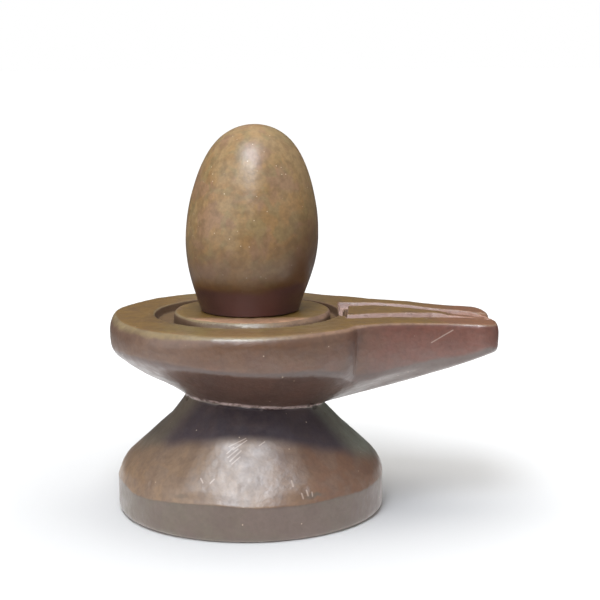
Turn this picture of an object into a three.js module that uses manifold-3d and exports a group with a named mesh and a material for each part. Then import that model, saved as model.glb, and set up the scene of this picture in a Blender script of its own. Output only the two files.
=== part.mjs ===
// A small shiva lingam: an egg-shaped stone standing on a carved stone base.
// Millimetres, +Z up. The origin is the centre of the flat face that the foot stands on,
// +X points along the spout and -Y towards the front.

import * as THREE from 'three';
import { ConvexGeometry } from 'three/addons/geometries/ConvexGeometry.js';
import { mergeVertices } from 'three/addons/utils/BufferGeometryUtils.js';
import Module from 'manifold-3d';

const wasm = await Module();
wasm.setup();
const { clamp, lerp, smoothstep } = THREE.MathUtils;

// ---------------------------------------------------------------- driving dimensions

// Foot: a low drum with a rounded shoulder, then a cone up to the waist.
const FOOT_FACE_R = 49.6;
const FOOT_WALL_R = 52.4;
const SHOULDER_Z = 13.5;
const CONE_FOOT_R = 44.4;
const CONE_FOOT_Z = 25.0;
const CONE_TOP_R = 29.2;
const CONE_TOP_Z = 39.2;
const CONE_X = 0.5;

// Waist: the narrowest ring, which the mason left a little off centre and tilted.
const WAIST_R = 27.0;
const WAIST_X = 2.4;
const WAIST_Z = 43.4;
const WAIST_TILT_X = -0.07;
const WAIST_TILT_Y = -0.08;

// Dish: the round top of the base.
const DISH_R = 53.3;
const DISH_X = -0.8;
const DISH_Y = 0.5;
const RIM_Z = 76.6;
const RIM_EDGE = 2.2;
const BELLY_Z = 64.0;
const BELLY_INSET = 1.6;

// Spout: its two flanks leave the dish at a crease and narrow towards the end.
const SPOUT_END_X = 96.8;
const SPOUT_FALL = 0.042;
const SPOUT_START_X = 46.0;
const SPOUT_MIDDLE_Y = 1.5;
const FLANK_START_Z = 57.0;
const FLANK_END_Z = 66.7;
const KEEL_DROP = 5.4;
const KEEL_HALF_W = 19.0;
const NECK_SHIFT = 1.2;
const UNDER_BULGE = 0.2;
const SPOUT_UNDER_BULGE = 1.2;

// Top of the dish: the moat, the raised disc and the two grooves along the spout.
const MOAT_R = 36.2;
const MOAT_X = -0.1;
const MOAT_Y = 2.6;
const MOAT_DEPTH = 3.4;
const DISC_R = 30.2;
const DISC_X = 1.1;
const DISC_Y = 0.5;
const DISC_TOP_Z = 78.2;
const DISC_BEVEL = 2.4;
const GROOVE_W = 8.0;
const GROOVE_DEPTH = 2.2;
const GROOVE_START_X = 39.0;

// Lingam: its flat spot stands on the disc, and it leans a little towards the spout.
const SEAT_GAP = 0.3;
const LINGAM_FLAT_R = 17.6;
const LINGAM_X = 0.7;
const LINGAM_LEAN = 0.032;
const LINGAM_TOP_Z = 150.5;
// Radius, then height above the flat spot.
const LINGAM_PROFILE = [
  [19.0, 0.7],
  [21.9, 8.2],
  [24.5, 17.2],
  [25.7, 28.6],
  [24.9, 40.2],
  [22.1, 50.9],
  [17.7, 61.3],
  [10.8, 69.2],
  [5.4, 71.5],
];

// Facets.
const ROUND_STEPS = 60;
const PLAN_STEPS = 116;
const LINGAM_STEPS = 42;
const LINGAM_RINGS = 20;

// ---------------------------------------------------------------- helpers

// A closed mesh from rings of points, all of the same length, lowest ring first.
function skin(rings) {
  const count = rings[0].length;
  const positions = rings.flat().flatMap((point) => point.toArray());
  const index = [];
  for (let k = 0; k + 1 < rings.length; k += 1) {
    const low = k * count;
    const high = low + count;
    for (let i = 0; i < count; i += 1) {
      const next = (i + 1) % count;
      index.push(low + i, low + next, high + next);
      index.push(low + i, high + next, high + i);
    }
  }
  const fan = (ring, first, facesUp) => {
    const middle = new THREE.Vector3();
    for (const point of ring) middle.addScaledVector(point, 1 / count);
    const hub = positions.length / 3;
    positions.push(...middle.toArray());
    for (let i = 0; i < count; i += 1) {
      const here = first + i;
      const next = first + ((i + 1) % count);
      index.push(hub, facesUp ? here : next, facesUp ? next : here);
    }
  };
  fan(rings[0], 0, false);
  fan(rings.at(-1), (rings.length - 1) * count, true);
  const geometry = new THREE.BufferGeometry();
  geometry.setAttribute('position', new THREE.Float32BufferAttribute(positions, 3));
  geometry.setIndex(index);
  return geometry;
}

// A level circle of points.
function circle(radius, x, y, z, steps = ROUND_STEPS) {
  return Array.from({ length: steps }, (_, i) => {
    const turn = (2 * Math.PI * i) / steps;
    return new THREE.Vector3(x + radius * Math.cos(turn), y + radius * Math.sin(turn), z);
  });
}

function toSolid(geometry) {
  geometry.deleteAttribute('normal');
  geometry.deleteAttribute('uv');
  const merged = mergeVertices(geometry, 1e-4);
  const vertProperties = new Float32Array(merged.attributes.position.array);
  const triVerts = new Uint32Array(merged.index.array);
  return new wasm.Manifold(new wasm.Mesh({ numProp: 3, vertProperties, triVerts }));
}

function toGeometry(solid) {
  const mesh = solid.getMesh();
  const geometry = new THREE.BufferGeometry();
  geometry.setAttribute('position', new THREE.BufferAttribute(mesh.vertProperties, 3));
  geometry.setIndex(new THREE.BufferAttribute(mesh.triVerts, 1));
  geometry.computeVertexNormals();
  return geometry;
}

// Height of the tilted waist plane.
function waistZ(x, y) {
  return WAIST_Z + WAIST_TILT_X * (x - WAIST_X) + WAIST_TILT_Y * y;
}

// Height of the base's top: level over the dish, then falling gently along the spout.
function topZ(x) {
  return RIM_Z - SPOUT_FALL * Math.max(0, x - SPOUT_START_X);
}

// ---------------------------------------------------------------- foot

function footSolid() {
  const waistRing = (radius, lift) => {
    const ring = circle(radius, WAIST_X, 0, 0);
    for (const point of ring) point.z = waistZ(point.x, point.y) + lift;
    return ring;
  };
  return toSolid(skin([
    circle(FOOT_FACE_R, 0, 0, 0),
    circle(FOOT_FACE_R + 0.8, 0.1, 0, 0.6),
    circle(FOOT_WALL_R - 0.8, 0.2, 0, 2.4),
    circle(FOOT_WALL_R, 0.4, 0, 7.5),
    circle(FOOT_WALL_R, 0.6, 0, SHOULDER_Z),
    circle(FOOT_WALL_R - 1.0, 0.6, 0, SHOULDER_Z + 3.2),
    circle(FOOT_WALL_R - 2.6, CONE_X, 0, SHOULDER_Z + 5.6),
    circle(FOOT_WALL_R - 5.0, CONE_X, 0, SHOULDER_Z + 8.4),
    circle(CONE_FOOT_R, CONE_X, 0, CONE_FOOT_Z),
    circle(CONE_TOP_R, 2 * CONE_X, 0, CONE_TOP_Z),
    waistRing(WAIST_R + 0.2, -1.6),
    waistRing(WAIST_R, 0),
    waistRing(WAIST_R - 6, 2),
  ]));
}

// ---------------------------------------------------------------- dish and spout

// Plan outline of the dish and spout, anticlockwise from the far crease.
function planOutline() {
  const farCrease = new THREE.Vector2(48.5, 32.4);
  const farArcEnd = new THREE.Vector2(28.0, 44.9);
  const nearArcEnd = new THREE.Vector2(40.4, -33.4);
  const nearCrease = new THREE.Vector2(41.8, -28.6);
  const start = Math.atan2(farArcEnd.y - DISH_Y, farArcEnd.x - DISH_X);
  const stop = Math.atan2(nearArcEnd.y - DISH_Y, nearArcEnd.x - DISH_X) + 2 * Math.PI;
  const outline = new THREE.Shape();
  outline.moveTo(farCrease.x, farCrease.y);
  outline.quadraticCurveTo(40.0, 38.6, farArcEnd.x, farArcEnd.y);
  outline.absarc(DISH_X, DISH_Y, DISH_R, start, stop, false);
  outline.quadraticCurveTo(41.3, -31.6, nearCrease.x, nearCrease.y);
  outline.quadraticCurveTo(48.5, -23.0, 66.0, -19.6);
  outline.quadraticCurveTo(79.0, -17.0, 89.5, -19.4);
  outline.quadraticCurveTo(95.6, -21.4, SPOUT_END_X - 0.4, -16.0);
  outline.quadraticCurveTo(SPOUT_END_X, -8.0, SPOUT_END_X, -2.0);
  outline.lineTo(SPOUT_END_X - 0.3, 9.0);
  outline.quadraticCurveTo(SPOUT_END_X - 1.0, 19.4, 90.5, 22.0);
  outline.quadraticCurveTo(70.0, 27.6, farCrease.x, farCrease.y);
  return outline.getSpacedPoints(PLAN_STEPS).slice(0, -1);
}

// Height of the lower edge of the dish's wall, which falls towards the spout.
function wallFootZ(point) {
  const turned = smoothstep(point.x, -20, SPOUT_START_X - 4);
  return lerp(BELLY_Z, FLANK_START_Z + 0.6, turned ** 2);
}

// Height of the lower edge of the spout's flanks, which rises towards the end and dips under its middle.
function flankFootZ(point) {
  const along = clamp((point.x - SPOUT_START_X) / (SPOUT_END_X - SPOUT_START_X), 0, 1);
  const middle = 1 - smoothstep(Math.abs(point.y - SPOUT_MIDDLE_Y), 2, KEEL_HALF_W);
  const dip = KEEL_DROP * middle * smoothstep(along, 0.75, 1);
  return lerp(FLANK_START_Z, FLANK_END_Z, along) - dip;
}

function bellyZ(point) {
  return point.x < SPOUT_START_X ? wallFootZ(point) : flankFootZ(point);
}

function headSolid() {
  const outline = planOutline();
  // The outline moved inwards by a distance, at a height that each of its points gives.
  const outlineRing = (inset, heightOf) => outline.map((point) => {
    const scale = 1 - inset / point.length();
    return new THREE.Vector3(point.x * scale, point.y * scale, heightOf(point));
  });
  // The waist circle with the outline's bearings, scaled, lifted and moved towards the spout.
  const neckRing = (scale, lift, shift = 0) => outline.map((point) => {
    const turn = Math.atan2(point.y, point.x - WAIST_X);
    const x = WAIST_X + shift + scale * WAIST_R * Math.cos(turn);
    const y = scale * WAIST_R * Math.sin(turn);
    return new THREE.Vector3(x, y, waistZ(x, y) + lift);
  });
  const neckTop = neckRing(1.09, 1.5, NECK_SHIFT);
  const belly = outlineRing(BELLY_INSET + 1.4, (point) => bellyZ(point) - 1.0);
  const underside = neckTop.map((point, i) => {
    const bulge = lerp(UNDER_BULGE, SPOUT_UNDER_BULGE, smoothstep(belly[i].x, 20, 50));
    const middle = point.clone().lerp(belly[i], 0.5);
    middle.z -= bulge;
    return middle;
  });
  const topRing = outline.map((point) => {
    const level = point.clone().setLength(MOAT_R + 4);
    return new THREE.Vector3(level.x, level.y, RIM_Z);
  });
  return toSolid(skin([
    neckRing(0.75, -5),
    neckRing(0.96, -0.6),
    neckTop,
    underside,
    belly,
    outlineRing(BELLY_INSET, bellyZ),
    outlineRing(0.5, (point) => bellyZ(point) + 2.6),
    outlineRing(0, (point) => topZ(point.x) - 2 * RIM_EDGE),
    outlineRing(0.25 * RIM_EDGE, (point) => topZ(point.x) - 0.7 * RIM_EDGE),
    outlineRing(RIM_EDGE, (point) => topZ(point.x)),
    topRing,
  ]));
}

// ---------------------------------------------------------------- top of the dish

function moatCutter() {
  const floorZ = RIM_Z - MOAT_DEPTH;
  return toSolid(skin([
    circle(MOAT_R - 2.0, MOAT_X, MOAT_Y, floorZ),
    circle(MOAT_R - 0.8, MOAT_X, MOAT_Y, floorZ + 0.7),
    circle(MOAT_R, MOAT_X, MOAT_Y, RIM_Z - 0.5),
    circle(MOAT_R + 0.6, MOAT_X, MOAT_Y, RIM_Z + 3),
  ]));
}

function discSolid() {
  return toSolid(skin([
    circle(DISC_R - 0.4, DISC_X, DISC_Y, RIM_Z - MOAT_DEPTH - 2),
    circle(DISC_R, DISC_X, DISC_Y, RIM_Z - 0.8),
    circle(DISC_R - 0.3, DISC_X, DISC_Y, RIM_Z + 0.4),
    circle(DISC_R - 0.4 * DISC_BEVEL, DISC_X, DISC_Y, DISC_TOP_Z - 0.5),
    circle(DISC_R - DISC_BEVEL, DISC_X, DISC_Y, DISC_TOP_Z),
  ]));
}

// A V-shaped cut from one plan point to another, open at the top.
function grooveCutter(from, to, width) {
  const flare = 2;
  const reach = (width / 2) * (1 + flare / GROOVE_DEPTH);
  const along = new THREE.Vector2().subVectors(to, from).normalize();
  const side = new THREE.Vector2(-along.y, along.x);
  const points = [];
  for (const end of [from, to]) {
    const z = topZ(end.x);
    points.push(new THREE.Vector3(end.x, end.y, z - GROOVE_DEPTH));
    points.push(new THREE.Vector3(end.x + side.x * reach, end.y + side.y * reach, z + flare));
    points.push(new THREE.Vector3(end.x - side.x * reach, end.y - side.y * reach, z + flare));
  }
  return toSolid(new ConvexGeometry(points));
}

function pedestalGeometry() {
  const pastEndX = SPOUT_END_X + 4;
  const crossX = GROOVE_START_X + 2.2;
  const farMouth = new THREE.Vector2(34, 19.5);
  const farBend = new THREE.Vector2(61, 17.3);
  const farEnd = new THREE.Vector2(pastEndX, 6.5);
  const nearStart = new THREE.Vector2(GROOVE_START_X, -7.6);
  const nearEnd = new THREE.Vector2(pastEndX, 3.5);
  const crossStart = new THREE.Vector2(crossX, -7.0);
  const crossEnd = new THREE.Vector2(crossX, 19.0);
  const solid = footSolid()
    .add(headSolid())
    .subtract(moatCutter())
    .subtract(grooveCutter(farMouth, farBend, GROOVE_W))
    .subtract(grooveCutter(farBend, farEnd, GROOVE_W))
    .subtract(grooveCutter(nearStart, nearEnd, GROOVE_W))
    .subtract(grooveCutter(crossStart, crossEnd, GROOVE_W / 2))
    .add(discSolid());
  return toGeometry(solid);
}

// ---------------------------------------------------------------- lingam

function lingamGeometry() {
  const baseZ = DISC_TOP_Z + SEAT_GAP;
  const level = (radius, height) => circle(
    radius,
    LINGAM_X + LINGAM_LEAN * height,
    0,
    baseZ + height,
    LINGAM_STEPS,
  );
  const corners = LINGAM_PROFILE.map(([radius, height]) => new THREE.Vector2(radius, height));
  const profile = new THREE.SplineCurve(corners);
  const geometry = skin([
    level(LINGAM_FLAT_R, 0),
    ...profile.getSpacedPoints(LINGAM_RINGS).map((point) => level(point.x, point.y)),
    level(1.4, LINGAM_TOP_Z - baseZ),
  ]);
  geometry.computeVertexNormals();
  return geometry;
}

// ---------------------------------------------------------------- scene

const lingam = new THREE.Mesh(
  lingamGeometry(),
  new THREE.MeshStandardMaterial({ color: 0xa08460, roughness: 0.4, metalness: 0 }),
);
lingam.name = 'lingam';

const pedestal = new THREE.Mesh(
  pedestalGeometry(),
  new THREE.MeshStandardMaterial({ color: 0x866a56, roughness: 0.5, metalness: 0 }),
);
pedestal.name = 'pedestal';

const group = new THREE.Group();
group.add(pedestal, lingam);

export default group;
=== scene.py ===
"""A small shiva lingam: an egg-shaped polished stone on a hand-carved base with a round foot and a grooved spout.

The shapes are worked out in millimetres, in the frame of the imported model, and become metres in make_object().
+X points along the spout, -Y towards the front, and the foot stands on the floor at z = 0.
"""

import math

import bpy
import numpy as np
from mathutils import Matrix, Vector


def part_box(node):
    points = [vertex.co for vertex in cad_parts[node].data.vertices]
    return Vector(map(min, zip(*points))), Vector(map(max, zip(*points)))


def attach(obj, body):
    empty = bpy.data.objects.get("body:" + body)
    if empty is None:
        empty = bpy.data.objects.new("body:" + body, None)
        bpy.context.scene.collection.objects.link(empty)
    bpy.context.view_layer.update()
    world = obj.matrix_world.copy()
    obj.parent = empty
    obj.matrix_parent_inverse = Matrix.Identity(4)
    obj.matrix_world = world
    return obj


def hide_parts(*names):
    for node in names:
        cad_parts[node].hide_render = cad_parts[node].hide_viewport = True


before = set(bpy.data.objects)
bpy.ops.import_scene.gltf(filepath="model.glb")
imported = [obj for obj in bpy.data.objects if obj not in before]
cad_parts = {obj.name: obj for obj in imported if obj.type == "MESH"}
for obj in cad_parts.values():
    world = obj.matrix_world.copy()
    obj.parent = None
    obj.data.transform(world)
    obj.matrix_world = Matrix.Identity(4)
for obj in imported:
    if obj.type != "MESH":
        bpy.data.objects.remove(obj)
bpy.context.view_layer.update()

MM = 0.001
LINGAM_LOW, LINGAM_HIGH = (np.array(corner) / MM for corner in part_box("lingam"))
PEDESTAL_LOW, PEDESTAL_HIGH = (np.array(corner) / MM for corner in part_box("pedestal"))

# ---------------------------------------------------------------- driving dimensions, in millimetres

FOOT_WALL_R = 52.3
FOOT_X = 0.4
FOOT_EDGE = 3.4
SHOULDER_Z = 14.0
SHOULDER_SLOPE = 0.33
CONE_R = 44.4
CONE_Z = 25.0
CONE_SLOPE = 1.07
FACE_SLOPE = 0.80

WAIST_R = 26.4
WAIST_X = 1.8
WAIST_Z = 43.4
WAIST_TILT_X = -0.07
WAIST_TILT_Y = -0.08

DISH_R = 53.2
DISH_X = -0.8
DISH_Y = 0.5
DISH_NEAR_SQUASH = 0.92
RIM_Z = 76.8
RIM_CHAMFER = 1.7
RIM_CHAMFER_LEFT = 2.8
SPOUT_CHAMFER = 0.5
# Which way the chamfers of the rim and the disc face: outwards, then upwards.
CHAMFER_OUT, CHAMFER_UP = 0.79, 0.61
WALL_FOOT_EDGE = 1.4
# Heights of the lower edge of the dish's wall, as (x, z) pairs.
WALL_FOOT = (
    (-54, 64.6), (-48, 64.9), (-42, 65.2), (-34, 65.1), (-24, 64.4), (-16, 63.8), (-8, 63.1), (1, 62.4), (12, 62.2),
    (24, 62.3), (28, 61.8), (32, 61.0), (36, 60.0), (40, 58.8), (44, 57.2), (46, 56.3),
)
# How far the underside sags below a straight slope, by the waist and half way out on the left.
UNDER_SAG = 1.8
UNDER_SAG_LEFT = 13.5
NECK_RISE = 1.4

SPOUT_END_X = PEDESTAL_HIGH[0]
SPOUT_FALL = 0.042
SPOUT_START_X = 46.0
SPOUT_MIDDLE_Y = 1.5
SPOUT_EDGE = 1.5
FLANK_START_Z = 56.3
FLANK_END_Z = 64.6
KEEL_DROP = 2.9
KEEL_HALF_W = 19.0

MOAT_R = 36.5
MOAT_FRONT_R = 33.2
MOAT_X = -0.5
MOAT_Y = 2.6
MOAT_DEPTH = 3.4
DISC_R = 30.5
DISC_X = 1.5
DISC_Y = 0.5
DISC_TOP_Z = 78.2
DISC_BEVEL = 2.6
GROOVE_DEPTH = 2.5
# The edges of the two grooves along the spout, as (x, y) pairs. The wedge lies between them.
FAR_GROOVE_FAR = (
    (39, 23.0), (52, 22.4), (61, 20.5), (73, 15.8), (82.5, 12.2), (87, 10.4), (91.5, 8.0), (93.7, 5.2), (95, 2.6),
)
FAR_GROOVE_NEAR = (
    (39, 15.4), (49, 16.4), (61, 14.0), (68, 12.3), (77, 9.2), (82, 7.6), (86.5, 5.8), (91, 3.0), (93, 0.9),
)
NEAR_GROOVE_FAR = ((39, -4.1), (48, -1.8), (60, 2.2), (72, 5.0), (81.6, 4.6), (90.6, 0.9), (93, -1.4))
NEAR_GROOVE_NEAR = (
    (38, -11.5), (43, -11.5), (48, -10.3), (59.5, -6.8), (71.4, -3.7), (81, -2.6), (90, -2.9), (93, -4.8),
)
# Small chips, each with its place, its radius and its depth.
CHIPS = (
    ((20.5, -23.2, 77.2), 1.5, 0.35), ((22.8, -21.4, 77.4), 1.7, 0.40), ((25.6, -18.6, 77.4), 1.3, 0.30),
    ((-25.4, -2.6, 45.2), 2.2, 0.8), ((-23.8, -8.5, 45.3), 1.7, 0.6), ((26.5, -12.5, 43.6), 2.4, 0.8),
    ((24.0, -18.0, 43.4), 1.8, 0.6), ((21.5, -45.9, 18.6), 2.2, 0.2), ((25.0, -44.8, 16.4), 2.4, 0.25),
    ((-37.5, -35.5, 19.0), 2.4, 0.25),
)
# Straight scratches, each with the x and z of its two ends and its width: one on the near flank, and rasp marks
# on the foot.
SCRATCHES = (
    ((70.4, 68.0), (78.6, 72.6), 0.32), ((-7.0, 29.6), (-3.3, 32.2), 0.30), ((-6.2, 28.4), (-2.2, 31.6), 0.35),
    ((-7.4, 30.8), (-4.8, 32.8), 0.30), ((-5.5, 27.5), (-2.5, 29.7), 0.25), ((-6.7, 33.0), (-0.4, 35.6), 0.25),
    ((-5.2, 32.0), (0.0, 35.0), 0.25), ((4.6, 33.2), (6.6, 34.4), 0.30), ((16.6, 21.8), (17.2, 20.2), 0.40),
    ((20.4, 17.6), (21.0, 15.8), 0.40), ((22.2, 18.4), (22.8, 16.6), 0.40), ((24.2, 17.6), (24.4, 16.2), 0.35),
    ((-17.0, 22.6), (-16.2, 21.4), 0.35), ((-13.4, 21.4), (-12.0, 22.6), 0.30),
)

LINGAM_X = 0.7
LINGAM_LEAN = 0.032
LINGAM_FLAT_R = 17.6
LINGAM_TOP_Z = LINGAM_HIGH[2]
# The egg's squared radius is the depth below its apex times a curve with these control values.
EGG_FORM = (5.0, 8.6, 23.7, 15.6, 39.4)

STEP = 0.46
MAX_TRIANGLES = 196000

# ---------------------------------------------------------------- small maths


def smooth_max(a, b, softness):
    mix = np.clip(0.5 + 0.5 * (a - b) / softness, 0, 1)
    return b + (a - b) * mix + softness * mix * (1 - mix)


def smooth_min(a, b, softness):
    return -smooth_max(-a, -b, softness)


def fade(value, low, high):
    """0 at low and before, 1 at high and after."""
    t = np.clip((value - low) / (high - low), 0, 1)
    return t * t * (3 - 2 * t)


def noise(points, size, seed, octaves=1):
    """Smooth random values from -1 to 1 whose lumps are about size across."""
    rng = np.random.default_rng(seed)
    total = np.zeros(len(points))
    weight, weights = 1.0, 0.0
    for _ in range(octaves):
        table = rng.uniform(-1, 1, (32, 32, 32))
        turn, _ = np.linalg.qr(rng.normal(size=(3, 3)))
        place = points @ turn / size + rng.uniform(0, 32, 3)
        cell = np.floor(place).astype(int)
        part = place - cell
        part = part * part * part * (part * (part * 6 - 15) + 10)
        value = np.zeros(len(points))
        for corner in np.ndindex(2, 2, 2):
            share = np.prod(np.where(corner, part, 1 - part), axis=1)
            i, j, k = ((cell + corner) % 32).T
            value += share * table[i, j, k]
        total += weight * value
        weights += weight
        weight *= 0.5
        size *= 0.5
    return total / weights


# ---------------------------------------------------------------- the base as a field of distances


def curve(start, control, end, steps=16):
    """Points on a quadratic curve, without its end."""
    t = np.linspace(0, 1, steps, endpoint=False)[:, None]
    start, control, end = (np.array(point, float) for point in (start, control, end))
    return (1 - t) ** 2 * start + 2 * t * (1 - t) * control + t ** 2 * end


def plan_outline():
    """The dish and spout seen from above, anticlockwise from the far crease."""
    far_crease, far_arc_end = (48.5, 32.4), (28.0, 44.9)
    near_arc_end, near_crease = (37.4, -33.5), (41.8, -27.2)
    arc_start = math.atan2(far_arc_end[1] - DISH_Y, far_arc_end[0] - DISH_X)
    arc_end = math.atan2((near_arc_end[1] - DISH_Y) / DISH_NEAR_SQUASH, near_arc_end[0] - DISH_X) + 2 * math.pi
    turn = np.linspace(arc_start, arc_end, 90, endpoint=False)
    across = DISH_R * np.sin(turn)
    across *= np.where(across < 0, DISH_NEAR_SQUASH, 1)
    arc = np.stack([DISH_X + DISH_R * np.cos(turn), DISH_Y + across], 1)
    end_x = SPOUT_END_X
    return np.concatenate([
        curve(far_crease, (40.0, 38.6), far_arc_end),
        arc,
        curve(near_arc_end, (40.3, -30.6), near_crease),
        curve(near_crease, (53.0, -21.2), (66.0, -17.2)),
        curve((66.0, -17.2), (79.0, -14.4), (88.0, -15.6)),
        curve((88.0, -15.6), (95.4, -17.0), (end_x - 0.2, -12.0)),
        curve((end_x - 0.2, -12.0), (end_x, -8.0), (end_x - 0.3, -4.0)),
        curve((end_x - 0.3, -4.0), (end_x - 1.6, 3.0), (end_x - 1.9, 9.0)),
        curve((end_x - 1.9, 9.0), (end_x - 2.4, 19.6), (90.0, 23.2)),
        curve((90.0, 23.2), (70.0, 28.4), far_crease),
    ])


def distance_to_polygon(x, y, corners):
    """Signed distance to a closed outline, negative inside."""
    nearest = np.full(x.shape, 1e9)
    inside = np.zeros(x.shape, bool)
    for (ax, ay), (bx, by) in zip(corners, np.roll(corners, -1, axis=0)):
        ex, ey = bx - ax, by - ay
        along = np.clip(((x - ax) * ex + (y - ay) * ey) / (ex * ex + ey * ey), 0, 1)
        nearest = np.minimum(nearest, (x - ax - along * ex) ** 2 + (y - ay - along * ey) ** 2)
        if ay != by:
            inside ^= ((y < ay) != (y < by)) & (x < ax + (y - ay) * ex / ey)
    return np.sqrt(nearest) * np.where(inside, -1, 1)


def moat_radius(x, y):
    """Distance from the moat's middle, stretched so that the moat's near side is flatter."""
    across = y - MOAT_Y
    return np.hypot(x - MOAT_X, across * np.where(across < 0, MOAT_R / MOAT_FRONT_R, 1.0))


def waist_z(x, y):
    return WAIST_Z + WAIST_TILT_X * (x - WAIST_X) + WAIST_TILT_Y * y


def top_z(x):
    return RIM_Z - SPOUT_FALL * np.maximum(0, x - SPOUT_START_X)


def belly_z(x, y):
    """Height of the lower edge of the dish's wall and of the spout's flanks."""
    wall = np.interp(x, *zip(*WALL_FOOT))
    along = np.clip((x - SPOUT_START_X) / (SPOUT_END_X - SPOUT_START_X), 0, 1)
    middle = 1 - fade(abs(y - SPOUT_MIDDLE_Y), 2, KEEL_HALF_W)
    flank = FLANK_START_Z + (FLANK_END_Z - FLANK_START_Z) * along - KEEL_DROP * middle * fade(along, 0.75, 1)
    return np.where(x < SPOUT_START_X, wall, flank)


def underside_z(x, y, outline):
    """Height of the sloping underside, which runs straight out from the waist to the foot of the wall."""
    bearing = np.arctan2(outline[:, 1], outline[:, 0] - WAIST_X)
    order = np.argsort(bearing)
    reach = np.hypot(outline[:, 0] - WAIST_X, outline[:, 1])
    foot = belly_z(outline[:, 0], outline[:, 1])
    here = np.arctan2(y, x - WAIST_X)
    reach_here = np.interp(here, bearing[order], reach[order], period=2 * math.pi)
    foot_here = np.interp(here, bearing[order], foot[order], period=2 * math.pi)
    outward = (np.hypot(x - WAIST_X, y) - WAIST_R) / (reach_here - WAIST_R)
    left = fade(-x, 12, 38)
    sag = (UNDER_SAG * (1 - outward) * (1 - left) + UNDER_SAG_LEFT * outward * (1 - outward) * left) * outward
    slope = waist_z(x, y) + (foot_here - waist_z(x, y)) * outward - sag
    neck = waist_z(x, y) + NECK_RISE * (np.hypot(x - WAIST_X, y) - WAIST_R)
    return np.where(outward > 0, slope, neck)


def blurred(values, width):
    """A map of the lattice's floor, smoothed over about width millimetres."""
    reach = math.ceil(2.5 * width / STEP)
    weights = np.exp(-0.5 * (np.arange(-reach, reach + 1) * STEP / width) ** 2)
    weights /= weights.sum()
    for _ in range(2):
        padded = np.pad(values, ((reach, reach), (0, 0)), mode="edge")
        values = sum(weight * padded[i:i + len(values)] for i, weight in enumerate(weights)).T
    return values


def groove_parts(x, y):
    """How deep, from 0 to 1, the two grooves along the spout, the sill from the moat and the slot behind it are."""
    def band(low, high, wall):
        return fade(y, low - 0.3, low + wall) * (1 - fade(y, high - wall, high + 0.3))

    def edge(pairs):
        return np.interp(x, *zip(*pairs))

    far = band(edge(FAR_GROOVE_NEAR), edge(FAR_GROOVE_FAR), 1.2) * fade(x, 35.2, 36.2)
    near = band(edge(NEAR_GROOVE_NEAR), edge(NEAR_GROOVE_FAR), 1.2) * fade(x, 37.6, 38.6) * (1 - 0.4 * fade(x, 76, 90))
    sill = fade(x, 35.2, 36.2) * (1 - fade(x, 37.4, 38.2)) * band(-6.5, 19.0, 1.5)
    slot_x = x - 0.06 * (y + 6)
    slot = fade(slot_x, 36.1, 36.7) * (1 - fade(slot_x, 37.5, 38.3)) * band(-6.5, 20.5, 1.6)
    return far, near, sill, slot


def groove_depth(x, y):
    far, near, sill, slot = groove_parts(x, y)
    ridge = fade(x, 74, 80) * (1 - fade(y, 8, 10)) * fade(y, -2, 0)
    return GROOVE_DEPTH * np.maximum.reduce([far, near, 0.75 * sill, 1.35 * slot, 0.35 * ridge])


def shoulder_z(bearing):
    """Height of the foot's hand-ground shoulder, which wanders up and down around it."""
    low_side = 1 - fade(abs(bearing - math.radians(-141)), 0.08, 0.42)
    waves = 0.3 * np.sin(3 * bearing + 1) + 0.25 * np.sin(7 * bearing + 2) + 0.15 * np.sin(13 * bearing)
    return SHOULDER_Z + waves - 1.4 * low_side


def foot_radius(z, bearing, waist):
    """Radius of the foot: an upright wall, a crisp shoulder, then a curve into the cone, and a flatter front."""
    above = z - shoulder_z(bearing)
    cone = CONE_R - CONE_SLOPE * (z - CONE_Z)
    side = smooth_min(FOOT_WALL_R - SHOULDER_SLOPE * above, cone, 2.2)
    from_front = abs(bearing + math.pi / 2)
    facet = 1 + 0.4 * (1 / np.cos(np.minimum(from_front, 0.5)) - 1) * fade(above, 0, 5)
    face = (FOOT_WALL_R - FACE_SLOPE * above) * facet
    front = 1 - fade(from_front, 0.30, 0.75)
    slope = side + (face - side) * front
    return np.minimum(FOOT_WALL_R, smooth_max(slope, WAIST_R + 0.65 * (waist - z), 0.8))


def lattice_axes():
    low = PEDESTAL_LOW - (3 * STEP, 3 * STEP, 3 * STEP)
    high = PEDESTAL_HIGH + 3 * STEP
    return [np.arange(low[i], high[i], STEP) + 0.25 * STEP for i in range(3)]


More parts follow.
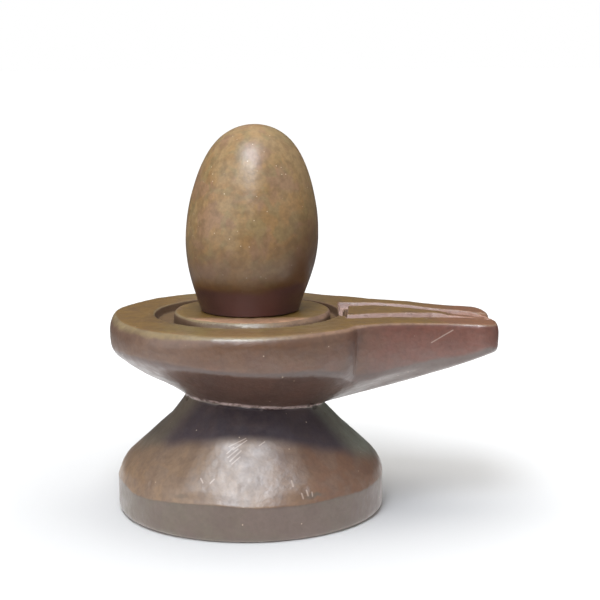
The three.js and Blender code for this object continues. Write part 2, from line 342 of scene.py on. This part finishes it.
def pedestal_field(axes):
    """Distances to the base's surface on a lattice, negative inside."""
    x, y = np.meshgrid(axes[0], axes[1], indexing="ij")
    outline = plan_outline()
    plan = distance_to_polygon(x, y, outline)
    under = blurred(underside_z(x, y, outline), 1.5)
    by_crease = 1 - fade(np.hypot(x - 36, y + 24), 8, 18)
    under = under + (blurred(under, 3.5) - under) * by_crease
    slope_x, slope_y = np.gradient(under, STEP)
    level = 1 / np.sqrt(1 + np.minimum(slope_x ** 2 + slope_y ** 2, 4))
    top = top_z(x) - groove_depth(x, y)
    slope_x, slope_y = np.gradient(top, STEP)
    top_level = 1 / np.sqrt(1 + slope_x ** 2 + slope_y ** 2)
    on_spout = fade(x, SPOUT_START_X - 6, SPOUT_START_X + 2)
    chamfer = RIM_CHAMFER + (RIM_CHAMFER_LEFT - RIM_CHAMFER) * fade(-x, 8, 32)
    chamfer = SPOUT_CHAMFER + (chamfer - SPOUT_CHAMFER) * fade(-y, -12, 8) * (1 - on_spout)
    foot_edge = WALL_FOOT_EDGE + (SPOUT_EDGE - WALL_FOOT_EDGE) * on_spout
    moat_r = moat_radius(x, y) - MOAT_R
    disc_r = np.hypot(x - DISC_X, y - DISC_Y) - DISC_R
    from_front = abs(np.arctan2(y - DISC_Y, x - DISC_X) + 1.35)
    disc_bevel = DISC_BEVEL * (1 - 0.65 * fade(from_front, 0.45, 1.3))
    bearing = np.arctan2(y, x - FOOT_X)
    waist = waist_z(x, y)
    field = np.empty((len(axes[0]), len(axes[1]), len(axes[2])), np.float32)
    for k, z in enumerate(axes[2]):
        axis = FOOT_X + (WAIST_X - FOOT_X) * fade(z, CONE_Z + 5, WAIST_Z)
        radius = foot_radius(z, bearing, waist)
        slope = np.hypot(1, (foot_radius(z + STEP, bearing, waist) - radius) / STEP)
        foot = (np.hypot(x - axis, y) - radius) / slope
        foot = smooth_max(foot, -z, FOOT_EDGE)
        foot = np.maximum(foot, z - waist - 1.5)

        lean = 0.5 * ((RIM_Z - 5 - z) / 8) ** 2 if z < RIM_Z - 5 else 0.0
        head = smooth_max(plan + lean, (z - top) * top_level, 1.0)
        head = smooth_max(head, CHAMFER_OUT * (plan + chamfer) + CHAMFER_UP * (z - top), 1.6)
        head = smooth_max(head, (under - z) * level, foot_edge)

        moat_wall = moat_r + 0.35 * (RIM_Z - z)
        moat = smooth_max(moat_wall, RIM_Z - MOAT_DEPTH - z, 1.0)
        head = smooth_max(head, -moat, 0.7)

        bevel = CHAMFER_OUT * (disc_r + disc_bevel) + CHAMFER_UP * (z - DISC_TOP_Z)
        disc = smooth_max(smooth_max(disc_r, z - DISC_TOP_Z, 0.3), bevel, 0.5)
        disc = np.maximum(disc, RIM_Z - MOAT_DEPTH - 3 - z)
        head = smooth_min(head, disc, 0.5)
        field[:, :, k] = smooth_min(head, foot, 0.5)
    return field


def surface_net(field, axes):
    """The mesh of quads where the field is zero, its faces pointing out of the negative side."""
    inside = field < 0
    strides = np.array([field.shape[1] * field.shape[2], field.shape[2], 1])
    crossings, cells = [], []
    for axis in range(3):
        near = tuple(slice(None, -1) if i == axis else slice(None) for i in range(3))
        far = tuple(slice(1, None) if i == axis else slice(None) for i in range(3))
        crossed = inside[near] != inside[far]
        here, there = field[near][crossed], field[far][crossed]
        index = np.argwhere(crossed)
        point = index.astype(float)
        point[:, axis] += here / (here - there)
        side, up = strides[(axis + 1) % 3], strides[(axis + 2) % 3]
        corner = index @ strides
        around = np.stack([corner, corner - side, corner - side - up, corner - up], 1)
        around[here > 0] = around[here > 0][:, ::-1]
        crossings.append(point)
        cells.append(around)
    crossings, cells = np.concatenate(crossings), np.concatenate(cells)
    _, quads = np.unique(cells, return_inverse=True)
    quads = quads.reshape(-1, 4)
    count = np.bincount(quads.ravel())
    points = np.stack([
        np.bincount(quads.ravel(), np.repeat(crossings[:, i], 4)) / count for i in range(3)
    ], 1)
    origin = np.array([axis[0] for axis in axes])
    return origin + points * STEP, quads


# ---------------------------------------------------------------- meshes


def make_object(name, points, faces):
    """An object from points in millimetres and faces that all have the same number of corners."""
    mesh = bpy.data.meshes.new(name)
    mesh.vertices.add(len(points))
    mesh.vertices.foreach_set("co", (points * MM).ravel())
    mesh.loops.add(faces.size)
    mesh.loops.foreach_set("vertex_index", faces.ravel())
    mesh.polygons.add(len(faces))
    mesh.polygons.foreach_set("loop_start", np.arange(0, faces.size, faces.shape[1]))
    mesh.update(calc_edges=True)
    mesh.validate()
    mesh.shade_smooth()
    made = bpy.data.objects.new(name, mesh)
    bpy.context.scene.collection.objects.link(made)
    return made


def points_of(mesh):
    points = np.empty(len(mesh.vertices) * 3)
    mesh.vertices.foreach_get("co", points)
    return points.reshape(-1, 3) / MM


def normals_of(mesh):
    normals = np.empty(len(mesh.vertices) * 3)
    mesh.vertices.foreach_get("normal", normals)
    return normals.reshape(-1, 3)


def set_points(mesh, points):
    mesh.vertices.foreach_set("co", (points * MM).ravel())
    mesh.update()


def store(mesh, name, values):
    """Keeps one number per vertex, for a material to read."""
    mesh.attributes.new(name, "FLOAT", "POINT").data.foreach_set("value", values.astype(np.float32))


def spread(mesh, values, rounds):
    """Each value mixed with its neighbours', a number of times."""
    edges = np.empty(len(mesh.edges) * 2, int)
    mesh.edges.foreach_get("vertices", edges)
    a, b = edges.reshape(-1, 2).T
    degree = np.bincount(edges, minlength=len(values))
    for _ in range(rounds):
        total = np.bincount(a, values[b], len(values)) + np.bincount(b, values[a], len(values))
        values = 0.5 * values + 0.5 * total / np.maximum(degree, 1)
    return values


def sharpness(mesh):
    """Positive on outward edges and negative in hollows, about 1 on a worn edge."""
    points, normals = points_of(mesh), normals_of(mesh)
    middle = np.stack([spread(mesh, points[:, i], 4) for i in range(3)], 1)
    return np.einsum("ij,ij->i", points - middle, normals)


def thin_out(made, most):
    """Merges faces where the surface is flattest, until the mesh has at most that many triangles."""
    triangles = sum(len(polygon.vertices) - 2 for polygon in made.data.polygons)
    if triangles <= most:
        return
    decimate = made.modifiers.new("thin_out", "DECIMATE")
    decimate.ratio = most / triangles
    graph = bpy.context.evaluated_depsgraph_get()
    thinned = bpy.data.meshes.new_from_object(made.evaluated_get(graph))
    made.modifiers.clear()
    made.data = thinned
    made.data.shade_smooth()


def wear_pedestal(mesh):
    """Hand-ground waves, dents, chips and rough patches, as moves along the normals."""
    points, normals = points_of(mesh), normals_of(mesh)
    waves = 0.26 * noise(points, 19, 1) + 0.11 * noise(points, 7, 2, 2)
    z = points[:, 2]
    rough = 0.05 * noise(points, 2.2, 3, 2)
    raw, waist = raw_grooves(points), raw_waist(points)
    rough = rough + (raw * 0.18 + waist * 0.35) * noise(points, 1.8, 4, 2)
    move = (waves + rough - 0.04) * fade(z, 0.2, 3.0)
    for place, radius, depth in CHIPS:
        away = np.linalg.norm(points - place, axis=1) * (1 + 0.35 * noise(points, 1.5, 5))
        move -= depth * (1 - fade(away, radius * 0.5, radius))
    set_points(mesh, np.clip(points + normals * move[:, None], PEDESTAL_LOW, PEDESTAL_HIGH))


def raw_grooves(points):
    """1 where the grooves of the spout and the sill of the moat were cut and left raw."""
    x, y, z = points.T
    far, near, sill, slot = groove_parts(x, y)
    cut = np.maximum.reduce([far, near, sill])
    return fade(cut, 0.03, 0.25) * (1 - fade(slot, 0.03, 0.2)) * fade(z, RIM_Z - 8, RIM_Z - 6)


def moat_and_slot_shade(points):
    """1 in the moat, low on the disc's side at the left and in the slot at the end of the wedge: painted shade in
    these recesses.
    """
    x, y, z = points.T
    slot = groove_parts(x, y)[3]
    by_disc = 1 - fade(np.hypot(x - DISC_X, y - DISC_Y) - DISC_R, 0.3, 1.5)
    brim = RIM_Z - 0.1 + 0.9 * by_disc * (1 - fade(x, -8, 2))
    in_dish = fade(z, RIM_Z - MOAT_DEPTH - 2, RIM_Z - MOAT_DEPTH - 1) * (1 - fade(z, brim - 0.4, brim))
    inside = 1 - fade(moat_radius(x, y), MOAT_R, MOAT_R + 0.4)
    return np.maximum(in_dish * inside, fade(slot, 0.03, 0.2) * fade(z, RIM_Z - 8, RIM_Z - 6))


def raw_waist(points):
    """1 on the thin rough line where the dish meets the foot."""
    x, y, z = points.T
    off = abs(z - waist_z(x, y) - 0.4 + 0.5 * noise(points, 5, 6))
    near = 1 - fade(np.hypot(x - WAIST_X, y), WAIST_R + 1.8, WAIST_R + 2.8)
    return (1 - fade(off, 0.25, 0.75)) * near


def build_pedestal():
    axes = lattice_axes()
    points, quads = surface_net(pedestal_field(axes), axes)
    made = make_object("carved_base", points, quads)
    wear_pedestal(made.data)
    thin_out(made, MAX_TRIANGLES)
    mesh = made.data
    points = points_of(mesh)
    store(mesh, "raw", raw_grooves(points))
    store(mesh, "moat", moat_and_slot_shade(points))
    store(mesh, "waist", raw_waist(points))
    store(mesh, "edge", np.clip(sharpness(mesh) / 0.25, -1, 1))
    return made


def egg_radius(height):
    """Radius of the lingam at a height above its flat spot."""
    tall = LINGAM_TOP_Z - DISC_TOP_Z
    s = np.clip(height / tall, 0, 1)
    form = sum(
        math.comb(4, i) * value * s ** i * (1 - s) ** (4 - i) for i, value in enumerate(EGG_FORM)
    )
    return np.sqrt(np.maximum((tall - height) * form, 0))


def build_lingam():
    tall = LINGAM_TOP_Z - DISC_TOP_Z
    around, rings = 300, 170
    flat = np.linspace(0.06, 0.96, 12) * LINGAM_FLAT_R
    turn = np.linspace(0, math.pi / 2, 6, endpoint=False)
    edge = 0.9
    side_s = 1 - np.cos(np.linspace(0, math.pi, rings)) * 0.5 - 0.5
    side_h = edge + (tall - edge) * side_s
    foot_r = egg_radius(np.array([edge]))[0]
    profile_r = np.concatenate([flat, foot_r - edge + edge * np.sin(turn), egg_radius(side_h)[:-1]])
    profile_h = np.concatenate([np.zeros(len(flat)), edge - edge * np.cos(turn), side_h[:-1]])
    bearing = np.linspace(0, 2 * math.pi, around, endpoint=False)
    oval = 1 - 0.09 * (1 - fade(profile_h, 0, 14))
    x = LINGAM_X + LINGAM_LEAN * profile_h[:, None] + profile_r[:, None] * np.cos(bearing)
    y = (profile_r * oval)[:, None] * np.sin(bearing)
    z = np.broadcast_to(DISC_TOP_Z + profile_h[:, None], x.shape)
    points = np.stack([x, y, z], -1).reshape(-1, 3)
    poles = np.array([
        [LINGAM_X, 0, DISC_TOP_Z],
        [LINGAM_X + LINGAM_LEAN * tall, 0, LINGAM_TOP_Z],
    ])
    count = len(profile_r)
    ring = np.arange(count - 1)[:, None] * around
    i = np.arange(around)[None, :]
    j = (i + 1) % around
    quads = np.stack([ring + i, ring + j, ring + around + j, ring + around + i], -1).reshape(-1, 4)
    i, j = i[0], j[0]
    low, high = len(points), len(points) + 1
    last = (count - 1) * around
    caps = [np.stack([np.full(around, low), j, i], 1), np.stack([np.full(around, high), last + i, last + j], 1)]
    triangles = np.concatenate([quads[:, [0, 1, 2]], quads[:, [0, 2, 3]], *caps])
    made = make_object("lingam_egg", np.concatenate([points, poles]), triangles)
    mesh = made.data
    points, normals = points_of(mesh), normals_of(mesh)
    height = points[:, 2] - DISC_TOP_Z
    move = 0.16 * noise(points, 19, 11) + 0.05 * noise(points, 6, 12, 2)
    move = (move + 0.05) * fade(height, 0.2, 4)
    set_points(mesh, np.clip(points + normals * move[:, None], LINGAM_LOW, LINGAM_HIGH))
    return made


# ---------------------------------------------------------------- materials


class Nodes:
    """Short calls that add nodes to one material. Vectors are in millimetres."""

    def __init__(self, name):
        self.material = bpy.data.materials.new(name)
        self.material.use_nodes = True
        self.tree = self.material.node_tree
        self.shader = self.tree.nodes["Principled BSDF"]
        place = self.tree.nodes.new("ShaderNodeTexCoord").outputs["Object"]
        self.place = self.vector("SCALE", place, scale=1 / MM)
        split = self.tree.nodes.new("ShaderNodeSeparateXYZ")
        self.plug(split.inputs[0], self.place)
        self.x, self.y, self.z = split.outputs

    def plug(self, socket, value):
        if isinstance(value, bpy.types.NodeSocket):
            self.tree.links.new(value, socket)
        else:
            socket.default_value = value

    def vector(self, operation, a, b=(0, 0, 0), scale=1.0):
        node = self.tree.nodes.new("ShaderNodeVectorMath")
        node.operation = operation
        self.plug(node.inputs[0], a)
        if operation == "SCALE":
            self.plug(node.inputs["Scale"], scale)
        else:
            self.plug(node.inputs[1], b)
        return node.outputs[0]

    def measure(self, operation, a, b=(0, 0, 0)):
        """The number that LENGTH or DOT_PRODUCT makes from vectors."""
        node = self.tree.nodes.new("ShaderNodeVectorMath")
        node.operation = operation
        self.plug(node.inputs[0], a)
        self.plug(node.inputs[1], b)
        return node.outputs["Value"]

    def math(self, operation, a, b=0.0, clamp=False):
        node = self.tree.nodes.new("ShaderNodeMath")
        node.operation = operation
        node.use_clamp = clamp
        self.plug(node.inputs[0], a)
        self.plug(node.inputs[1], b)
        return node.outputs[0]

    def fade(self, value, low, high, start=0.0, end=1.0):
        node = self.tree.nodes.new("ShaderNodeMapRange")
        node.interpolation_type = "SMOOTHSTEP"
        keys = ("Value", "From Min", "From Max", "To Min", "To Max")
        for key, number in zip(keys, (value, low, high, start, end)):
            self.plug(node.inputs[key], number)
        return node.outputs[0]

    def noise(self, size, detail=3.0, roughness=0.55, warp=0.0):
        """Noise from 0 to 1, mostly near 0.5, whose lumps are about size across."""
        node = self.tree.nodes.new("ShaderNodeTexNoise")
        self.plug(node.inputs["Vector"], self.place)
        self.plug(node.inputs["Scale"], 1 / size)
        self.plug(node.inputs["Detail"], detail)
        self.plug(node.inputs["Roughness"], roughness)
        self.plug(node.inputs["Distortion"], warp)
        return node.outputs["Fac"]

    def specks(self, size, radius):
        """1 inside small scattered spots, 0 elsewhere."""
        node = self.tree.nodes.new("ShaderNodeTexVoronoi")
        self.plug(node.inputs["Vector"], self.place)
        self.plug(node.inputs["Scale"], 1 / size)
        return self.fade(node.outputs["Distance"], radius * 0.6, radius, 1.0, 0.0)

    def scratch(self, start, end, width):
        """1 on a straight scratch that runs from start to end as seen from the front, 0 elsewhere."""
        start, end = np.array((start[0], 0, start[1])), np.array((end[0], 0, end[1]))
        along = end - start
        flattened = self.vector("MULTIPLY", self.place, (1, 0, 1))
        from_start = self.vector("SUBTRACT", flattened, tuple(start))
        share = self.measure("DOT_PRODUCT", from_start, tuple(along / (along @ along)))
        nearest = self.vector("SCALE", tuple(along), scale=self.math("ADD", share, 0.0, clamp=True))
        away = self.measure("LENGTH", self.vector("SUBTRACT", from_start, nearest))
        return self.fade(away, width * 0.4, width, 1.0, 0.0)

    def attribute(self, name):
        node = self.tree.nodes.new("ShaderNodeAttribute")
        node.attribute_name = name
        return node.outputs["Fac"]

    def mix(self, share, a, b):
        node = self.tree.nodes.new("ShaderNodeMix")
        node.data_type = "RGBA"
        self.plug(node.inputs["Factor"], share)
        colour_a = [s for s in node.inputs if s.name == "A" and s.type == "RGBA"][0]
        colour_b = [s for s in node.inputs if s.name == "B" and s.type == "RGBA"][0]
        self.plug(colour_a, a if isinstance(a, bpy.types.NodeSocket) else (*a, 1))
        self.plug(colour_b, b if isinstance(b, bpy.types.NodeSocket) else (*b, 1))
        return [s for s in node.outputs if s.type == "RGBA"][0]

    def bump(self, height, depth):
        """Bump whose height of 1 stands for depth millimetres."""
        node = self.tree.nodes.new("ShaderNodeBump")
        self.plug(node.inputs["Height"], height)
        self.plug(node.inputs["Distance"], depth * MM)
        self.plug(self.shader.inputs["Normal"], node.outputs["Normal"])


def lingam_material():
    n = Nodes("egg_stone")
    tan, ochre, pink, dark = (0.305, 0.203, 0.098), (0.312, 0.182, 0.074), (0.270, 0.158, 0.092), (0.130, 0.075, 0.034)
    clouds = n.fade(n.noise(16, 4), 0.40, 0.60)
    colour = n.mix(clouds, tan, ochre)
    colour = n.mix(n.fade(n.noise(11, 4, warp=0.6), 0.48, 0.62, 0, 0.8), colour, pink)
    olive = n.fade(n.noise(8, 4, warp=0.8), 0.50, 0.64, 0, 0.6)
    colour = n.mix(olive, colour, (0.228, 0.178, 0.084))
    blotches = n.fade(n.noise(3.2, 2, 0.55), 0.38, 0.70, 0, 0.42)
    colour = n.mix(blotches, colour, dark)
    grain = n.fade(n.noise(1.2, 1.5, 0.5), 0.3, 0.75, 0, 0.26)
    colour = n.mix(grain, colour, dark)
    colour = n.mix(n.specks(3.4, 0.085), colour, (0.48, 0.38, 0.26))
    # Painted shade: the egg's colour darkens towards its foot and towards its right side.
    wobble = n.math("MULTIPLY", n.noise(16, 2), 6.0)
    height = n.math("SUBTRACT", n.z, wobble)
    slant = n.fade(n.x, 7, 24, 0.0, 13.0)
    lower = n.fade(n.math("SUBTRACT", height, slant), DISC_TOP_Z, DISC_TOP_Z + 34, 0.88, 0.0)
    colour = n.mix(lower, colour, (0.078, 0.028, 0.008))
    # Painted shade and painted reflection: a dark purple band round the egg's foot stands for the dish's shadow and
    # its reflection.
    dip = n.math("SUBTRACT", height, n.fade(n.x, 6, 22, 0.0, 1.5))
    band = n.fade(dip, DISC_TOP_Z + 5.6, DISC_TOP_Z + 8.8, 0.85, 0.0)
    shade_purple = n.mix(n.fade(n.x, -15, 0), (0.062, 0.026, 0.028), (0.104, 0.037, 0.033))
    shade_purple = n.mix(n.fade(n.x, 6, 17), shade_purple, (0.090, 0.039, 0.044))
    colour = n.mix(band, colour, shade_purple)
    n.plug(n.shader.inputs["Base Color"], colour)
    n.plug(n.shader.inputs["Roughness"], n.fade(n.noise(3, 5), 0.3, 0.7, 0.285, 0.37))
    n.shader.inputs["Specular IOR Level"].default_value = 0.5
    n.bump(n.math("ADD", n.noise(1.2, 2), n.noise(3.5, 3)), 0.05)
    return n.material


def pedestal_material():
    n = Nodes("base_stone")
    wander = n.math("MULTIPLY", n.math("SUBTRACT", n.noise(15, 3), 0.5), 30)
    clouds = n.fade(n.noise(18, 4), 0.38, 0.62)
    geometry = n.tree.nodes.new("ShaderNodeNewGeometry")
    split = n.tree.nodes.new("ShaderNodeSeparateXYZ")
    n.plug(split.inputs[0], geometry.outputs["Normal"])
    facing_up = split.outputs[2]

    wall = n.mix(clouds, (0.150, 0.075, 0.048), (0.140, 0.072, 0.041))
    wall = n.mix(n.fade(n.x, -38, -12, 1.0, 0.0), wall, (0.164, 0.098, 0.066))
    reddish = n.fade(n.math("ADD", n.x, wander), 35, 60)
    wall = n.mix(reddish, wall, (0.168, 0.068, 0.049))
    # Painted shade: faces that look downwards get a darker colour, and under the spout a lighter one as a painted
    # reflection of the floor.
    under = n.mix(clouds, (0.066, 0.037, 0.028), (0.082, 0.042, 0.030))
    under = n.mix(n.fade(n.x, 42, 60), under, (0.130, 0.095, 0.082))
    head = n.mix(n.fade(facing_up, -0.35, -0.1, 1.0, 0.0), wall, under)
    # Painted shade in the crease where the dish's wall meets the spout's near flank.
    crease_x = n.math("SUBTRACT", n.x, n.math("MULTIPLY", n.math("SUBTRACT", n.z, 66.0), 0.25))
    by_crease = n.math("MULTIPLY", n.fade(crease_x, 36.2, 38.8), n.fade(crease_x, 40.8, 43.4, 1.0, 0.0))
    by_crease = n.math("MULTIPLY", by_crease, n.fade(n.y, -23, -26, 0.0, 0.5))
    head = n.mix(by_crease, head, (0.075, 0.038, 0.030))
    top = n.mix(clouds, (0.192, 0.136, 0.052), (0.204, 0.124, 0.054))
    top = n.mix(n.fade(n.math("ABSOLUTE", n.x), 18, 38), top, (0.174, 0.096, 0.023))
    top = n.mix(n.fade(n.math("ADD", n.x, wander), 66, 84), top, (0.200, 0.085, 0.040))
    off_disc = n.vector("MULTIPLY", n.vector("SUBTRACT", n.place, (DISC_X, DISC_Y, 0)), (1, 1, 0))
    on_disc = n.fade(n.measure("LENGTH", off_disc), DISC_R + 0.5, DISC_R + 1.5, 1.0, 0.0)
    bevel = n.mix(n.fade(n.math("ADD", n.x, wander), 0, 30), (0.240, 0.175, 0.090), (0.255, 0.150, 0.095))
    # Painted light: the front part of the disc's top is given a pale colour that stands for light falling there.
    disc = n.mix(n.fade(n.y, -14, -21), (0.206, 0.120, 0.028), (0.500, 0.290, 0.178))
    disc = n.mix(n.fade(facing_up, 0.85, 0.96), bevel, disc)
    top = n.mix(n.fade(facing_up, 0.85, 0.96), bevel, top)
    top = n.mix(on_disc, top, disc)
    head = n.mix(n.fade(facing_up, 0.40, 0.65), head, top)

    brown = n.mix(n.fade(n.math("ADD", n.x, wander), 0, 30), (0.222, 0.142, 0.084), (0.160, 0.082, 0.048))
    brown = n.mix(n.fade(n.noise(8, 3, warp=0.4), 0.44, 0.60, 0, 0.45), brown, (0.168, 0.114, 0.082))
    # Painted shade and painted reflection: the top of the cone, in the dish's shadow, is dark purple in the middle and
    # grey at the sides, where the grey stands for reflection. The shade's lower edge drops towards the sides and the
    # right.
    rise = n.math("ADD", n.math("MULTIPLY", n.math("MULTIPLY", n.x, n.x), 0.0052), n.fade(n.x, 10, 30, 0.0, 1.5))
    height = n.math("ADD", n.math("ADD", n.z, rise), n.math("MULTIPLY", wander, 0.07))
    reflected_grey = n.mix(n.fade(n.x, -10, 10), (0.160, 0.128, 0.091), (0.236, 0.240, 0.182))
    outwards = n.math("ADD", n.math("ABSOLUTE", n.x), n.math("MULTIPLY", n.math("SUBTRACT", n.z, 34.0), 0.9))
    in_middle = n.fade(n.math("SUBTRACT", outwards, n.fade(n.x, -10, 10, 5.5, 8.8)), 20.5, 28.0, 1.0, 0.0)
    in_shade = n.fade(height, 33.0, 37.0)
    shade_purple = n.mix(n.fade(n.math("ABSOLUTE", n.x), 8, 17), (0.017, 0.005, 0.010), (0.034, 0.019, 0.025))
    cone = n.mix(in_shade, brown, n.mix(in_middle, reflected_grey, shade_purple))
    foot = n.mix(clouds, (0.101, 0.074, 0.049), (0.109, 0.071, 0.054))
    foot = n.mix(n.fade(facing_up, 0.1, 0.3), foot, cone)
    tilted = n.math("SUBTRACT", n.math("MULTIPLY", n.x, -WAIST_TILT_X), n.math("MULTIPLY", n.y, WAIST_TILT_Y))
    above_waist = n.math("SUBTRACT", n.math("ADD", n.z, tilted), WAIST_Z - WAIST_TILT_X * WAIST_X)
    colour = n.mix(n.fade(above_waist, -0.3, 0.5), foot, head)

    grain = n.fade(n.noise(1.6, 1.5, 0.5), 0.3, 0.75, 0, 0.22)
    colour = n.mix(grain, colour, (0.05, 0.03, 0.022))
    blotches = n.fade(n.noise(6, 3, 0.5), 0.38, 0.72, 0, 0.3)
    colour = n.mix(blotches, colour, (0.07, 0.038, 0.030))
    # Painted shade in the moat, low on the disc's side and in the slot.
    moat_shade_share = n.math("MULTIPLY", n.attribute("moat"), n.fade(facing_up, 0.6, 0.9, 0.9, 0.65))
    colour = n.mix(moat_shade_share, colour, (0.085, 0.042, 0.014))
    raw_share = n.math("MULTIPLY", n.attribute("raw"), n.fade(n.noise(2.2, 4), 0.25, 0.45), clamp=True)
    raw = n.mix(n.fade(n.math("ADD", n.x, wander), 66, 86), (0.330, 0.215, 0.180), (0.310, 0.165, 0.115))
    colour = n.mix(raw_share, colour, raw)
    waist_share = n.math("MULTIPLY", n.attribute("waist"), n.fade(n.noise(2.5, 4), 0.38, 0.58), clamp=True)
    colour = n.mix(waist_share, colour, (0.33, 0.24, 0.22))
    edge = n.fade(n.math("ADD", n.attribute("edge"), n.math("MULTIPLY", n.noise(3, 4), 0.5)), 0.6, 1.2, 0, 0.6)
    colour = n.mix(edge, colour, (0.30, 0.18, 0.13))
    # Painted shade in hollows.
    hollow_shade = n.fade(n.attribute("edge"), -0.45, -1.0, 0.0, 0.5)
    colour = n.mix(hollow_shade, colour, (0.035, 0.02, 0.014))
    for start, end, width in SCRATCHES:
        scratch = n.math("MULTIPLY", n.scratch(start, end, width), n.fade(n.y, -10, -14, 0.0, 0.5))
        colour = n.mix(scratch, colour, (0.46, 0.36, 0.30))
    colour = n.mix(n.math("MULTIPLY", n.specks(5.5, 0.06), 0.7), colour, (0.50, 0.38, 0.28))
    n.plug(n.shader.inputs["Base Color"], colour)
    rough = n.fade(n.noise(4, 5), 0.3, 0.7, 0.285, 0.40)
    rough = n.math("ADD", rough, n.math("MULTIPLY", raw_share, 0.3))
    rough = n.math("ADD", rough, n.math("MULTIPLY", n.attribute("moat"), 0.35))
    on_foot = n.fade(above_waist, -1.5, -0.5, 1.0, 0.0)
    extra = n.math("ADD", n.math("MULTIPLY", n.math("MULTIPLY", in_shade, in_middle), 0.4), 0.07)
    rough = n.math("ADD", rough, n.math("MULTIPLY", on_foot, extra))
    n.plug(n.shader.inputs["Roughness"], rough)
    n.shader.inputs["Specular IOR Level"].default_value = 0.7
    n.bump(n.math("ADD", n.noise(1.6, 2), n.noise(4.5, 3)), 0.10)
    return n.material


# ---------------------------------------------------------------- stage, light and camera

CAMERA_AT = (20.18, -646.0, 198.36)
CAMERA_DOWN_DEG = 10.22
CAMERA_ROLL_DEG = 0.32
LENS = 100.92
SENSOR = 36.0


def add_camera():
    data = bpy.data.cameras.new("camera")
    data.lens = LENS
    data.sensor_width = SENSOR
    data.clip_end = 20.0
    camera = bpy.data.objects.new("camera", data)
    bpy.context.scene.collection.objects.link(camera)
    down = math.radians(CAMERA_DOWN_DEG)
    roll = math.radians(CAMERA_ROLL_DEG)
    right = Vector((1, 0, 0))
    ahead = Vector((0, math.cos(down), -math.sin(down)))
    below = ahead.cross(right)
    side = right * math.cos(roll) + below * math.sin(roll)
    lower = below * math.cos(roll) - right * math.sin(roll)
    turn = Matrix((side, -lower, -ahead)).transposed()
    camera.matrix_world = Matrix.Translation(Vector(CAMERA_AT) * MM) @ turn.to_4x4()
    bpy.context.scene.camera = camera


def add_light(name, at, aim, size, power, colour=(1, 1, 1), mirrored=True, lighting=True):
    """A soft box: at and aim in millimetres, size in millimetres, power in watts."""
    data = bpy.data.lights.new(name, "AREA")
    data.shape = "RECTANGLE"
    data.size, data.size_y = (side * MM for side in size)
    data.energy = power
    data.color = colour
    light = bpy.data.objects.new(name, data)
    bpy.context.scene.collection.objects.link(light)
    light.visible_glossy = mirrored
    light.visible_diffuse = lighting
    light.location = Vector(at) * MM
    light.rotation_euler = (Vector(aim) - Vector(at)).to_track_quat("-Z", "Y").to_euler()


def add_stage():
    size = 4000.0
    corners = np.array([[-size, -size, 0], [size, -size, 0], [size, size, 0], [-size, size, 0]])
    floor = make_object("floor", corners, np.array([[0, 1, 2, 3]]))
    n = Nodes("floor_paper")
    n.shader.inputs["Roughness"].default_value = 0.9
    n.shader.inputs["Emission Color"].default_value = (1, 1, 1, 1)
    distance = n.measure("LENGTH", n.place)
    n.plug(n.shader.inputs["Base Color"], n.mix(n.fade(distance, 120, 360), (0.64, 0.64, 0.64), (0.15, 0.15, 0.15)))
    seen = n.tree.nodes.new("ShaderNodeLightPath").outputs["Is Camera Ray"]
    far_glow = n.math("MULTIPLY", n.fade(distance, 84, 300), seen)
    near_glow = n.math("MULTIPLY", n.fade(distance, 120, 360, 0.8, 0.0), n.math("SUBTRACT", 1.0, seen))
    n.plug(n.shader.inputs["Emission Strength"], n.math("ADD", far_glow, near_glow))
    floor.data.materials.append(n.material)


def add_world():
    world = bpy.data.worlds.new("studio")
    world.use_nodes = True
    tree = world.node_tree
    tree.nodes.clear()
    seen = tree.nodes.new("ShaderNodeBackground")
    seen.inputs["Color"].default_value = (1, 1, 1, 1)
    seen.inputs["Strength"].default_value = 1.0
    lit = tree.nodes.new("ShaderNodeBackground")
    lit.inputs["Color"].default_value = (0.95, 0.97, 1, 1)
    direction = tree.nodes.new("ShaderNodeTexCoord")
    split = tree.nodes.new("ShaderNodeSeparateXYZ")
    height = tree.nodes.new("ShaderNodeMapRange")
    height.inputs["From Min"].default_value = 0.1
    height.inputs["From Max"].default_value = 0.9
    height.inputs["To Min"].default_value = 0.08
    height.inputs["To Max"].default_value = 0.4
    tree.links.new(direction.outputs["Generated"], split.inputs[0])
    tree.links.new(split.outputs[2], height.inputs["Value"])
    tree.links.new(height.outputs[0], lit.inputs["Strength"])
    path = tree.nodes.new("ShaderNodeLightPath")
    mix = tree.nodes.new("ShaderNodeMixShader")
    out = tree.nodes.new("ShaderNodeOutputWorld")
    tree.links.new(path.outputs["Is Camera Ray"], mix.inputs[0])
    tree.links.new(lit.outputs[0], mix.inputs[1])
    tree.links.new(seen.outputs[0], mix.inputs[2])
    tree.links.new(mix.outputs[0], out.inputs["Surface"])
    bpy.context.scene.world = world
    bpy.context.scene.view_settings.view_transform = "Standard"


# ---------------------------------------------------------------- the scene

add_camera()
add_stage()
add_world()
add_light("main", at=(-80, -428, 825), aim=(0, 0, 80), size=(340, 340), power=4.6, colour=(0.90, 0.94, 1))
add_light("main_lower", at=(-60, -727, 609), aim=(0, 0, 80), size=(260, 440), power=1.8, colour=(0.90, 0.94, 1))
add_light(
    "overhead", at=(20, 140, 800), aim=(10, 0, 0), size=(900, 700), power=5.8, colour=(1, 0.98, 0.94), mirrored=False,
)
add_light(
    "sheen", at=(-95, -428, 825), aim=(0, 0, 80), size=(620, 720), power=5.0, colour=(0.64, 0.82, 1), lighting=False,
)
add_light("left_fill", at=(-700, -500, 300), aim=(0, 0, 60), size=(900, 900), power=3.8)
add_light("right_fill", at=(760, -300, 300), aim=(0, 0, 60), size=(700, 700), power=0.7)

egg = build_lingam()
egg.data.materials.append(lingam_material())
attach(egg, "root")
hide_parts("lingam")

base = build_pedestal()
base.data.materials.append(pedestal_material())
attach(base, "root")
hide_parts("pedestal")
